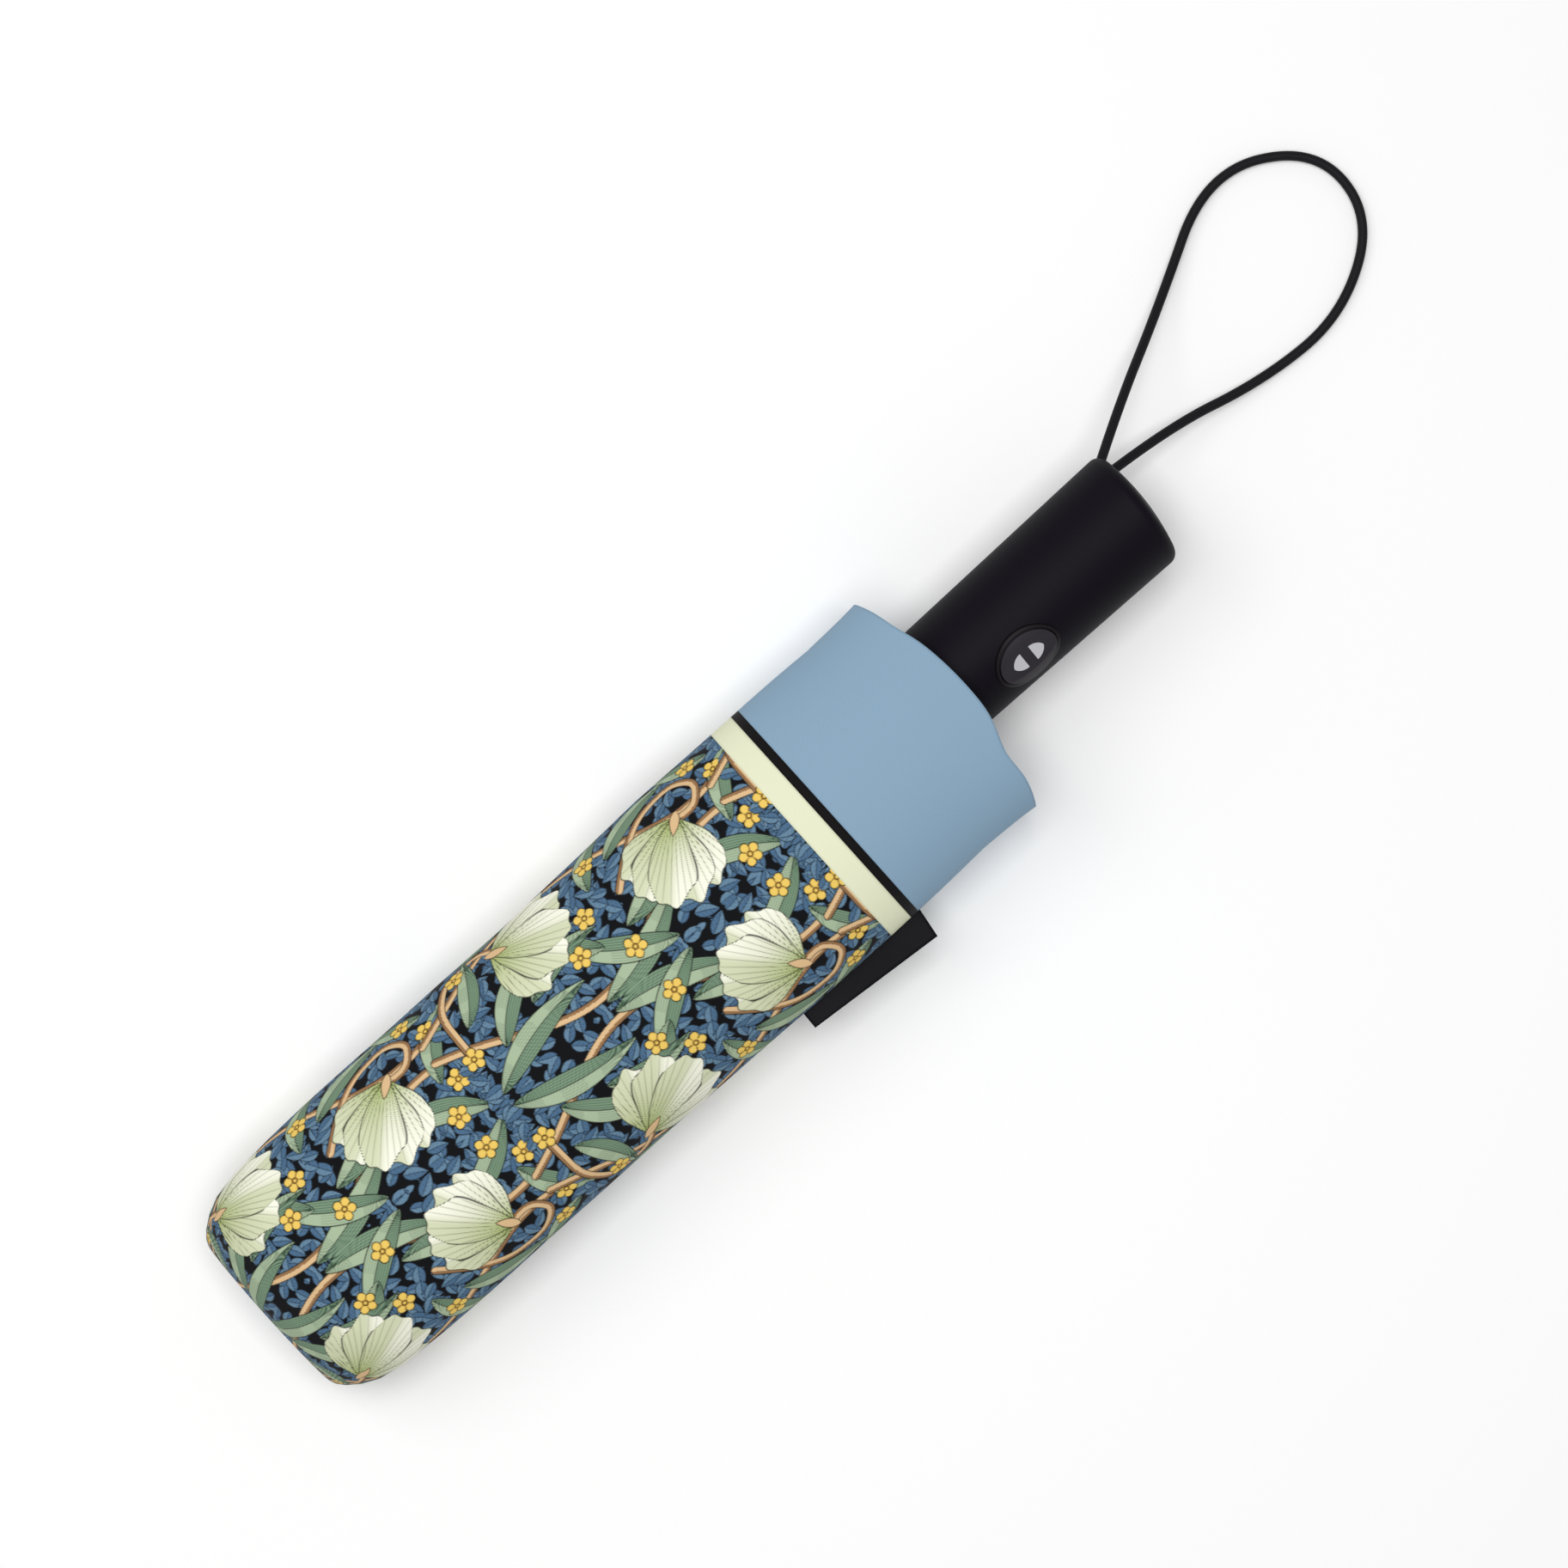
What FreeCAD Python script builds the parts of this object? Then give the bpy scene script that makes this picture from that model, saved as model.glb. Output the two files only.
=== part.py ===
import FreeCAD, Part
import math
import os
from FreeCAD import Placement, Rotation, Vector

# Folding umbrella, closed, in its fabric sleeve, lying on the floor.
# Millimetres. +X runs from the sleeve's closed end to the handle's end, +Z is up, and the
# origin is on the floor under the middle of the object. Parts round the shaft are drawn in a
# local frame: X along the shaft, Z away from it. A turn about X puts each one in its place.

doc = FreeCAD.newDocument("folding_umbrella")
sheet = doc.addObject("Spreadsheet::Sheet", "Params")

VALUES = {
    # where the shaft and the sleeve lie
    "shaft_height": 25.0,
    "shaft_side": 9.15,
    "sleeve_side": 4.25,
    "sleeve_middle": 24.2,
    # handle
    "handle_start": 72.0,
    "handle_end": 150.0,
    "handle_radius": 16.3,
    "handle_neck": 15.2,
    "dome_side": 4.0,
    "dome_radius": 62.0,
    "rim_round": 3.0,
    "core_radius": 13.9,
    # button
    "button_place": 101.6,
    "button_turn": 37.0,
    "button_long": 8.3,
    "button_wide": 6.3,
    "bezel_long": 9.4,
    "bezel_wide": 7.4,
    "well_long": 8.6,
    "well_wide": 6.6,
    "button_travel": 2.0,
    # shaft tubes
    "lower_radius": 5.45,
    "lower_bore": 4.76,
    "middle_radius": 4.7,
    "middle_bore": 4.06,
    "upper_radius": 4.0,
    "upper_bore": 3.4,
    # frame
    "rib_count": 8.0,
    "rib_width": 2.9,
    "rib_depth": 3.0,
    "pivot_gap": 2.5,
    "hub_gap": 3.2,
    "eye_width": 1.2,
    "cheek_inside": 1.5,
    "eye_radius": 2.0,
    "pin_radius": 0.6,
    "hub_radius": 11.5,
    "slot_width": 1.8,
    "strip_gap": 3.5,
    "strip_wall": 0.7,
    # sleeve
    "skin": 0.8,
    "body_end": 30.2,
    "band_end": 36.9,
    "stripe_end": 39.3,
    "collar_end": 85.0,
    "rim_bulge": 81.0,
    # wrist loop
    "cord_radius": 1.25,
}
for row, (word, value) in enumerate(VALUES.items(), start=1):
    sheet.set(f"A{row}", word)
    sheet.set(f"B{row}", str(value))
    sheet.setAlias(f"B{row}", word)
doc.recompute()


def v(word):
    """A driving dimension's number."""
    return float(sheet.get(word))


# ---------------------------------------------------------------- helpers


def put(obj, at=(0, 0, 0), turn=None):
    obj.Placement = Placement(Vector(*at), turn or Rotation())
    return obj


def turned(obj, turn):
    """Turns a part about the shaft, from where it was drawn."""
    obj.Placement = Placement(Vector(), turn).multiply(obj.Placement)
    return obj


def prim(kind, name, at=(0, 0, 0), turn=None, **sizes):
    """A Part primitive. A size given as text is bound to the sheet."""
    obj = put(doc.addObject("Part::" + kind, name), at, turn)
    for key, size in sizes.items():
        if isinstance(size, str):
            obj.setExpression(key, size)
        else:
            setattr(obj, key, size)
    return obj


ALONG_X = Rotation(Vector(0, 1, 0), 90)
ALONG_Y = Rotation(Vector(1, 0, 0), -90)


def rod(name, x0, x1, radius, at=(0, 0)):
    """A cylinder along the shaft from x0 to x1."""
    return prim("Cylinder", name, (x0, *at), ALONG_X, Radius=radius, Height=x1 - x0)


def cross(name, x, z, radius, half):
    """A cylinder across the shaft, centred on its middle plane."""
    return prim("Cylinder", name, (x, -half, z), ALONG_Y, Radius=radius, Height=2 * half)


def block(name, x0, x1, half, z0, z1):
    """A box across the middle plane."""
    return prim("Box", name, (x0, -half, z0), Length=x1 - x0, Width=2 * half, Height=z1 - z0)


def fuse(name, parts):
    obj = doc.addObject("Part::MultiFuse", name)
    obj.Shapes = list(parts)
    return obj


def cut(name, base, *tools):
    obj = doc.addObject("Part::Cut", name)
    obj.Base = base
    obj.Tool = tools[0] if len(tools) == 1 else fuse(name + "_tools", tools)
    return obj


def common(name, a, b):
    obj = doc.addObject("Part::Common", name)
    obj.Base, obj.Tool = a, b
    return obj


def solid(name, shape):
    """A shape that no feature of the workbenches draws."""
    obj = doc.addObject("Part::Feature", name)
    obj.Shape = shape
    return obj


def on_shaft(obj, degrees=0.0):
    """Moves a part from the local frame to the shaft, turned about it."""
    if not obj.Placement.isIdentity():
        inside = obj
        obj = doc.addObject("Part::Compound", inside.Name + "_placed")
        obj.Links = [inside]
    obj.Placement = Placement(
        Vector(0, v("shaft_side"), v("shaft_height")), Rotation(Vector(1, 0, 0), degrees)
    )
    obj.setExpression("Placement.Base.y", "Params.shaft_side")
    obj.setExpression("Placement.Base.z", "Params.shaft_height")
    return obj


nodes = {}


def node(label, obj):
    obj.Label = label
    nodes[label] = obj
    return obj


def copy_on_shaft(label, master, degrees):
    """One more of a repeated part."""
    obj = doc.addObject("Part::Compound", label)
    obj.Links = [master]
    return node(label, on_shaft(obj, degrees))


def oval(name, long_half, wide_half, z0, z1):
    """An oval prism at the button, standing away from the shaft."""
    ring = Part.Ellipse(Vector(v("button_place"), 0, z0), long_half, wide_half).toShape()
    return solid(name, Part.Face(Part.Wire(ring)).extrude(Vector(0, 0, z1 - z0)))


# ---------------------------------------------------------------- wrist loop's route

# corners of the loop: along, sideways from the shaft, height above the floor
LOOP = [
    (139.0, 9.0, 27.0),
    (159.0, 20.6, 21.0),
    (188.0, 34.0, 4.0),
    (220.0, 51.5, 1.6),
    (245.0, 38.0, 1.6),
    (244.5, 15.0, 1.6),
    (222.0, 1.0, 1.6),
    (196.0, 2.0, 1.6),
    (166.5, 10.0, 8.5),
    (139.0, 11.5, 22.0),
]
route = [Vector(x, y + v("shaft_side"), z) for x, y, z in LOOP]


def rounded_route(points):
    """Straight runs joined by tangent arcs: (wire, radii)."""
    edges, radii, start = [], [], points[0]
    for before, corner, after in zip(points, points[1:], points[2:]):
        back, on = before - corner, after - corner
        reach = 0.45 * min(back.Length, on.Length)
        back.normalize()
        on.normalize()
        turn = math.pi - back.getAngle(on)
        radius = reach / math.tan(turn / 2)
        first, last = corner + back * reach, corner + on * reach
        inward = (back + on).normalize()
        centre = corner + inward * math.hypot(radius, reach)
        middle = centre - inward * radius
        edges.append(Part.LineSegment(start, first).toShape())
        edges.append(Part.Arc(first, middle, last).toShape())
        radii.append(radius)
        start = last
    edges.append(Part.LineSegment(start, points[-1]).toShape())
    return Part.Wire(edges), radii


loop_wire, loop_radii = rounded_route(route)
ring = Part.Circle(route[0], route[1] - route[0], v("cord_radius")).toShape()
loop_tube = loop_wire.makePipeShell([Part.Wire(ring)], True, False)
section = math.pi * v("cord_radius") ** 2
print("loop length", round(loop_wire.Length, 1), "radii", [round(r, 1) for r in loop_radii])
print("loop volume over section x length", round(loop_tube.Volume / section / loop_wire.Length, 4))
node("wrist_loop", solid("wrist_loop", loop_tube))


def strand_hole(name, start, towards, radius, length):
    """A straight hole round one strand inside the handle."""
    turn = Rotation(Vector(0, 0, 1), towards - start)
    return prim("Cylinder", name, tuple(start), turn, Radius=radius, Height=length)


# ---------------------------------------------------------------- handle grip

grip_rod = prim(
    "Cone", "grip_rod", (v("handle_start"), 0, 0), ALONG_X, Radius1="Params.handle_neck",
    Radius2="Params.handle_radius", Height="Params.handle_end - Params.handle_start",
)
dome = prim(
    "Sphere", "grip_dome", (v("handle_end") - v("dome_radius"), v("dome_side"), 0),
    Radius="Params.dome_radius",
)
grip_raw = common("grip_raw", grip_rod, dome)
doc.recompute()
grip_round = doc.addObject("Part::Fillet", "grip_round")
grip_round.Base = grip_raw
rims = []
for i, edge in enumerate(grip_raw.Shape.Edges, start=1):
    if edge.BoundBox.XLength < 6 and edge.BoundBox.YLength > 20:
        at_end = edge.BoundBox.XMin > v("handle_end") - 10
        size = v("rim_round") if at_end else 0.6
        rims.append((i, size, size))
grip_round.Edges = rims
hollow = rod("grip_hollow", v("handle_start") - 1, 144.6, "Params.core_radius + 0.05")
window = oval("grip_window", v("bezel_long") + 0.05, v("bezel_wide") + 0.05, 10, 20)
turned(window, Rotation(Vector(1, 0, 0), v("button_turn")))
grip_cut = cut("grip_cut", grip_round, hollow, window)
on_shaft(grip_cut)
hole_a = strand_hole("grip_hole_a", route[0], route[1], 1.4, 18)
hole_b = strand_hole("grip_hole_b", route[-1], route[-2], 1.4, 18)
node("handle_grip", cut("handle_grip", grip_cut, hole_a, hole_b))

# ---------------------------------------------------------------- handle core

TURN = Rotation(Vector(1, 0, 0), v("button_turn"))
core_rod = rod("core_rod", v("handle_start") + 1, 144.3, "Params.core_radius")
core_bore = rod("core_bore", v("handle_start"), 98.05, "Params.lower_radius + 0.01")
core_well = turned(oval("core_well", v("well_long"), v("well_wide"), 6.0, 16), TURN)
core_seat = oval("core_seat", v("bezel_long") + 0.1, v("bezel_wide") + 0.1, 11.9, 16)
turned(core_seat, TURN)
core_slot = turned(block("core_slot", 84, 98.6, 2.2, 5.0, 9.8), TURN)
core_pin = cross("core_pin_hole", 91, 0, 1.02, 12)
core_room = rod("core_room", 128, 145, 7.8, (10, -1))
core_cut = cut("core_cut", core_rod, core_bore, core_well, core_seat, core_slot, core_pin, core_room)
node("handle_core", on_shaft(core_cut))

# crimp that holds both ends of the wrist loop, in the core's room
crimp = block("crimp_block", 134.5, 142.0, 2.9, -4.6, 3.6)
crimp.Placement.Base.y = 10.2 - 2.9
node("loop_crimp", on_shaft(fuse("loop_crimp", [crimp, rod("crimp_tail", 131, 134.5, 1.6, (10.2, 0))])))

# pin that fixes the lower tube in the core
node("tube_pin", on_shaft(cross("tube_pin", 91, 0, 1.0, 11.5)))

# ---------------------------------------------------------------- button

bezel_ring = cut(
    "bezel_ring",
    oval("bezel_outer", v("bezel_long"), v("bezel_wide"), 12.0, 18),
    oval("bezel_inner", v("well_long"), v("well_wide"), 11, 19),
)
bezel = common("bezel", bezel_ring, rod("bezel_skin", 88, 116, 16.25))
node("button_bezel", on_shaft(bezel, v("button_turn")))

button_face = common(
    "button_face",
    oval("button_oval", v("button_long"), v("button_wide"), 11.0, 18),
    rod("button_skin", 88, 116, 16.55),
)
dish = prim("Sphere", "button_dish", (v("button_place"), 0, 15.95 + 60), Radius=60.0)
button_top = cut("button_top", button_face, dish)


def arrow(name, way, z0, z1):
    """A shield shape whose straight edge faces the button's middle."""
    x = v("button_place") + way * 1.4
    a = Vector(x, -2.5, z0)
    b = Vector(x, 2.5, z0)
    tip = Vector(x + way * 3.4, 0, z0)
    side = Vector(x + way * 1.6, 2.1, z0)
    mirror = Vector(x + way * 1.6, -2.1, z0)
    edges = [
        Part.LineSegment(a, b).toShape(),
        Part.Arc(b, side, tip).toShape(),
        Part.Arc(tip, mirror, a).toShape(),
    ]
    return solid(name, Part.Face(Part.Wire(edges)).extrude(Vector(0, 0, z1 - z0)))


pockets = fuse("arrow_pockets", [arrow(f"arrow_pocket_{n}", n, 15.4, 19) for n in (-1, 1)])
stem = prim("Cylinder", "button_stem", (v("button_place"), 0, 8.4), Radius=1.6, Height=3.0)
button_body = fuse("button_body", [cut("button_cap", button_top, pockets), stem])
node("button", on_shaft(button_body, v("button_turn")))
inlay_tool = fuse("inlay_tool", [arrow(f"arrow_inlay_{n}", n, 15.4, 19) for n in (-1, 1)])
inlays = common("inlays", button_top, inlay_tool)
node("button_arrows", on_shaft(inlays, v("button_turn")))

latch_bar = block("latch_bar", 85.5, 98.3, 1.5, 7.7, 9.0)
latch_post = block("latch_post", 95.7, 98.3, 1.5, 9.0, 11.0)
node("latch", on_shaft(fuse("latch", [latch_bar, latch_post]), v("button_turn")))


def coil(radius, wire, pitch, height, make_helix=Part.makeHelix):
    """A coil spring standing on the origin along Z."""
    helix = make_helix(pitch, height, radius)
    ring = Part.Circle(Vector(radius, 0, 0), Vector(0, 1, 0), wire).toShape()
    return Part.Wire(helix).makePipeShell([Part.Wire(ring)], True, True)


# each turn is an edge of its own, so that no face of this tight coil is longer than a turn
button_coil = coil(2.5, 0.3, 1.4, 4.2, Part.makeLongHelix)
button_coil.translate(Vector(v("button_place"), 0, 6.4))
node("button_spring", on_shaft(solid("button_spring", button_coil), v("button_turn")))

# ---------------------------------------------------------------- shaft tubes


def tube(label, x0, x1, outer, inner, *holes):
    skin = rod(label + "_outer", x0, x1, f"Params.{outer}")
    bore = rod(label + "_bore", x0 - 1, x1 + 1, f"Params.{inner}")
    return node(label, on_shaft(cut(label, skin, bore, *holes)))


pin_hole = cross("lower_pin_hole", 91, 0, 1.02, 8)
tube("lower_tube", -122, 98, "lower_radius", "lower_bore", pin_hole)
tube("middle_tube", -126, 86, "middle_radius", "middle_bore")
tube("upper_tube", -140, 84, "upper_radius", "upper_bore")

main_coil = coil(2.7, 0.45, 6.0, 186)
main_coil.rotate(Vector(0, 0, 0), Vector(0, 1, 0), 90)
main_coil.translate(Vector(-104, 0, 0))
node("main_spring", on_shaft(solid("main_spring", main_coil)))

# ---------------------------------------------------------------- crown and runner

HUB = 9.5
CROWN = -135.0
RUNNER = 60.0
PITCH = 360.0 / v("rib_count")
COUNT = int(v("rib_count"))
AROUND = [k * PITCH for k in range(COUNT)]


def hub(label, pivot, disc, body, bore):
    """A slotted disc that carries one pin for each rib, with a collar round the shaft."""
    solids = [rod(label + "_disc", disc[0], disc[1], "Params.hub_radius")]
    solids.append(rod(label + "_collar", body[0], body[1], 7.4))
    slots, pins = [rod(label + "_bore", -200, 100, bore)], []
    for k, angle in enumerate(AROUND):
        turn = Rotation(Vector(1, 0, 0), angle)
        slot = block(f"{label}_slot_{k}", disc[0] - 1, disc[1] + 1, 0.9, 7.4, 13)
        slots.append(turned(slot, turn))
        pin = cross(f"{label}_pin_{k}", pivot, HUB, "Params.pin_radius", 1.6)
        pins.append(turned(pin, turn))
    slotted = cut(label + "_slotted", fuse(label + "_solid", solids), *slots)
    return node(label, on_shaft(fuse(label, [slotted, *pins])))


hub("crown_notch", CROWN, (CROWN - 2, CROWN + 2), (CROWN - 4, CROWN + 8), v("upper_radius") + 0.01)
hub("runner", RUNNER, (RUNNER - 2, RUNNER + 2), (RUNNER - 8, RUNNER + 10), v("lower_radius") + 0.06)

cap_disc = rod("cap_disc", -147.5, -140.0, 9.0)
doc.recompute()
cap_round = doc.addObject("Part::Fillet", "cap_round")
cap_round.Base = cap_disc
cap_round.Edges = [
    (i, 3.0, 3.0)
    for i, edge in enumerate(cap_disc.Shape.Edges, start=1)
    if edge.BoundBox.XMax < -147 and edge.BoundBox.YLength > 10
]
node("crown_cap", on_shaft(cap_round))

# ---------------------------------------------------------------- ribs

E = v("pivot_gap")
EYE = 0.5 * v("eye_width")
HALF = 0.5 * v("rib_width")
CHEEK = 0.5 * v("cheek_inside")
WIDE = "Params.rib_width"


def bar(name, x0, x1, z0):
    """A rib's bar, as wide and deep as the sheet says."""
    return prim(
        "Box", name, (x0, -HALF, z0), Length=x1 - x0, Width=WIDE, Height="Params.rib_depth"
    )


def eye(name, x, z, to_x, z0, z1):
    """A flat eye round a pivot, joined to its bar."""
    return [
        cross(name + "_disc", x, z, "Params.eye_radius", EYE),
        block(name + "_web", min(x, to_x), max(x, to_x), EYE, z0, z1),
    ]


def fork(name, x, z, to_x, z0, z1):
    """Two cheeks that straddle an eye, with the pin through them."""
    found = [cross(name + "_pin", x, z, "Params.pin_radius", HALF)]
    for side, y in (("left", -HALF), ("right", CHEEK)):
        wall = HALF - CHEEK
        disc = prim(
            "Cylinder", f"{name}_{side}", (x, y, z), ALONG_Y,
            Radius="Params.eye_radius", Height=wall,
        )
        low, high = min(x, to_x), max(x, to_x)
        web = prim(
            "Box", f"{name}_{side}_web", (low, y, z0), Length=high - low, Width=wall, Height=z1 - z0
        )
        found += [disc, web]
    return found


KNEE, KNEE_R = 35.0, 11.5
ELBOW, ELBOW_R = -122.0, 15.5
TIP = 64.0
STRUT_AT = CROWN + 85.0

# inner rib: from the crown's pin to the knee
inner = fuse("inner_rib_master_solid", [
    bar("inner_bar", CROWN + v("hub_gap"), KNEE - E, 8.0),
    *eye("inner_root", CROWN, HUB, CROWN + v("hub_gap"), 8.6, 10.4),
    *eye("inner_knee", KNEE, KNEE_R, KNEE - E, 9.6, 11.0),
])
inner = cut(
    "inner_rib_master", inner,
    cross("inner_root_hole", CROWN, HUB, 0.66, 3),
    cross("inner_knee_hole", KNEE, KNEE_R, 0.66, 3),
)

# middle rib: folded back from the knee to the elbow
middle = fuse("middle_rib_solid", [
    bar("middle_bar", ELBOW + E, KNEE - E, 12.0),
    *fork("middle_knee", KNEE, KNEE_R, KNEE - E, 12.0, 13.4),
    *eye("middle_elbow", ELBOW, ELBOW_R, ELBOW + E, 13.6, 15.0),
])
middle = cut("middle_rib_master", middle, cross("middle_elbow_hole", ELBOW, ELBOW_R, 0.66, 3))

# outer rib: folded forward again from the elbow to the tip, with its plastic tip
outer = fuse("outer_rib_master", [
    bar("outer_bar", ELBOW + E, TIP, 16.0),
    *fork("outer_elbow", ELBOW, ELBOW_R, ELBOW + E, 16.0, 17.4),
    prim("Sphere", "outer_tip", (TIP, 0, 17.5), Radius=1.9),
])

# stretcher: two strips that straddle the inner rib, from the runner's pin
GAP = 0.5 * v("strip_gap")
WALL = v("strip_wall")
strips = []
for side, y in (("left", -GAP - WALL), ("right", GAP)):
    strips.append(prim(
        "Box", f"strip_{side}", (STRUT_AT, y, 8.2), Length=RUNNER - 12 - STRUT_AT,
        Width="Params.strip_wall", Height=2.6,
    ))
    strips.append(prim(
        "Cylinder", f"strip_{side}_end", (STRUT_AT, y, HUB), ALONG_Y, Radius=1.9,
        Height="Params.strip_wall",
    ))
strut = fuse("stretcher_solid", [
    *strips,
    block("strut_block", RUNNER - 15, RUNNER - v("hub_gap"), GAP + WALL, 8.2, 10.8),
    *eye("strut_root", RUNNER, HUB, RUNNER - v("hub_gap"), 8.6, 10.4),
])
strut = cut("stretcher_master", strut, cross("strut_hole", RUNNER, HUB, 0.66, 3))

for k, angle in enumerate(AROUND, start=1):
    copy_on_shaft(f"inner_rib_{k}", inner, angle)
    copy_on_shaft(f"middle_rib_{k}", middle, angle)
    copy_on_shaft(f"outer_rib_{k}", outer, angle)
    copy_on_shaft(f"stretcher_{k}", strut, angle)

# ---------------------------------------------------------------- sleeve

# how the sleeve's oval section runs: along, half width, half height, middle height
SECTIONS = [
    (-150.0, 23.6, 12.0, 17.5),
    (-148.6, 25.6, 14.4, 18.9),
    (-146.5, 27.4, 16.6, 20.1),
    (-143.0, 29.3, 18.8, 21.5),
    (-138.5, 30.9, 21.0, 22.6),
    (-132.0, 32.1, 23.0, 23.5),
    (-122.0, 32.9, 24.2, 24.0),
    (-100.0, 33.3, 24.5, 24.2),
    (92.0, 33.3, 24.5, 24.2),
]


def section_wire(x, half_wide, half_high, height, shrink):
    """A closed oval a little squarer than an ellipse."""
    a, b, points = half_wide - shrink, half_high - shrink, []
    for step in range(24):
        angle = 2 * math.pi * step / 24
        c, s = math.cos(angle), math.sin(angle)
        y = a * math.copysign(abs(c) ** 0.86, c)
        z = b * math.copysign(abs(s) ** 0.86, s)
        points.append(Vector(x, y + v("sleeve_side"), height + z))
    curve = Part.BSplineCurve()
    curve.interpolate(points, PeriodicFlag=True)
    return Part.Wire(curve.toShape())


def sleeve_loft(name, shrink, floor, start):
    wires = []
    for x, half_wide, half_high, height in SECTIONS:
        wires.append(section_wire(max(x, x + start), half_wide, half_high, height, shrink))
    loft = Part.makeLoft(wires, True, True)
    above = Part.makeBox(400, 200, 100, Vector(-200, -100, floor))
    return solid(name, loft.common(above))


outside = sleeve_loft("sleeve_outside", 0.0, 0.0, 0.0)
inside = sleeve_loft("sleeve_inside", v("skin"), v("skin"), v("skin"))
shell = cut("sleeve_shell", outside, inside)


def sleeve_piece(label, x0, x1):
    slab = prim("Box", label + "_slab", (x0, -100, -10), Width=200, Height=100)
    slab.setExpression("Length", f"{x1} - ({x0})" if isinstance(x1, str) else f"{x1 - x0} mm")
    return common(label, shell, slab)


node("sleeve_body", sleeve_piece("sleeve_body", -151.0, "Params.body_end"))
node("sleeve_band", sleeve_piece("sleeve_band", v("body_end"), "Params.band_end"))
node("sleeve_stripe", sleeve_piece("sleeve_stripe", v("band_end"), "Params.stripe_end"))
collar_raw = sleeve_piece("collar_raw", v("stripe_end"), "Params.collar_end")
rim = prim(
    "Cylinder", "rim_curve", (v("collar_end") - v("rim_bulge"), v("sleeve_side"), -10),
    Radius="Params.rim_bulge", Height=100,
)
node("sleeve_collar", common("sleeve_collar", collar_raw, rim))

label_plate = prim("Box", "label_plate", (1.5, -37.55, 23.5), Length=37.0, Width=12, Height=1.2)
node("side_label", cut("side_label", label_plate, outside))

# ---------------------------------------------------------------- folded canopy

bundle = Part.Ellipse(Vector(0, 0, 0), 30.0, 21.9).toShape()
bundle = Part.Face(Part.Wire(bundle)).extrude(Vector(0, 0, 200))
bundle.rotate(Vector(0, 0, 0), Vector(0, 0, 1), 90)
bundle.rotate(Vector(0, 0, 0), Vector(0, 1, 0), 90)
bundle.translate(Vector(-121, v("sleeve_side"), 24.2))
bundle = solid("canopy_bundle", bundle)
room = on_shaft(rod("canopy_room", -125, 85, 20.0))
node("canopy", cut("canopy", bundle, room))

# ---------------------------------------------------------------- check and write

doc.recompute()
os.makedirs("parts", exist_ok=True)
bad = []
for obj in doc.Objects:
    if "Invalid" in obj.State or "Error" in obj.State:
        bad.append(obj.Name)
for label, obj in nodes.items():
    shape = obj.Shape
    if shape.isNull() or not shape.isValid() or not shape.Solids:
        bad.append(label)
        continue
    shape.exportStep(f"parts/{label}.step")
    print(label, len(shape.Solids), round(shape.Volume, 1), [round(n, 1) for n in (
        shape.BoundBox.XMin, shape.BoundBox.XMax, shape.BoundBox.YMin,
        shape.BoundBox.YMax, shape.BoundBox.ZMin, shape.BoundBox.ZMax)])
print(len(nodes), "nodes; bad:", bad)
if bad:
    raise SystemExit(1)
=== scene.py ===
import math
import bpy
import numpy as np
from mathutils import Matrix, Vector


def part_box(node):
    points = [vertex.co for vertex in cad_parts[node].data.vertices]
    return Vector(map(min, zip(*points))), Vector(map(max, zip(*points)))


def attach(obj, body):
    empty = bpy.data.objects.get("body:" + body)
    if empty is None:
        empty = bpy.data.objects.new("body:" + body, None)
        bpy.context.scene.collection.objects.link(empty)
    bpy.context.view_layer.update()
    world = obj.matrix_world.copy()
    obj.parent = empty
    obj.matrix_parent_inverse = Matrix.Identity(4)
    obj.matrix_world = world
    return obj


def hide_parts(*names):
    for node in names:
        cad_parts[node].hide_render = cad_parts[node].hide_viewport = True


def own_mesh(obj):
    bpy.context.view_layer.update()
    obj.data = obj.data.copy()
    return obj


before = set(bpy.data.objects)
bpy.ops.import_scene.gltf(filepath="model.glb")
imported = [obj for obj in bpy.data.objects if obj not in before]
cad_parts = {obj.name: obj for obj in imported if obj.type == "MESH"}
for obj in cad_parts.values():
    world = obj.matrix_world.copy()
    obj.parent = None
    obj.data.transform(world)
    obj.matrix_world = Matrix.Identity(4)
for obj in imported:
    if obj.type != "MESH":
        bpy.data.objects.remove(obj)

# %% [markdown]
# # A folding umbrella in its sleeve
# The CAD model gives every piece its true size and place. This lesson dresses it: the fabric
# sleeve gets folds and a printed flower pattern, the handle its soft-touch skin, and the
# wrist loop its real cord. Everything is in metres, in the CAD model's own frame.

MM = 0.001
SLEEVE_Y = sum(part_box("sleeve_body")[i].y for i in (0, 1)) / 2
TUBE_LOW, TUBE_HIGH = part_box("lower_tube")
SHAFT_Y = (TUBE_LOW.y + TUBE_HIGH.y) / 2
SHAFT_Z = (TUBE_LOW.z + TUBE_HIGH.z) / 2
CLOSED_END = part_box("sleeve_body")[0].x
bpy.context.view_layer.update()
print("sleeve centre", round(SLEEVE_Y, 5), "shaft", round(SHAFT_Y, 5), round(SHAFT_Z, 5))


# %% [markdown]
# ## Colour and materials
# The umbrella is woven polyester, moulded plastic, plated and lacquered steel, and aluminium.
# Cloth, paint and plastic are dielectrics with an index near 1.5, and a metal is told apart by
# its metallic value alone. Every colour could be typed as linear light, but a hex code is easier
# to read, so one function turns it into linear light. Another adds a shader node with its
# settings and links, which keeps each material to a few lines.

# %% Colour helpers
def linear(code):
    """#RRGGBB to linear RGB."""
    raw = np.array([int(code[i : i + 2], 16) for i in (1, 3, 5)]) / 255
    return np.where(raw <= 0.04045, raw / 12.92, ((raw + 0.055) / 1.055) ** 2.4)


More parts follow.
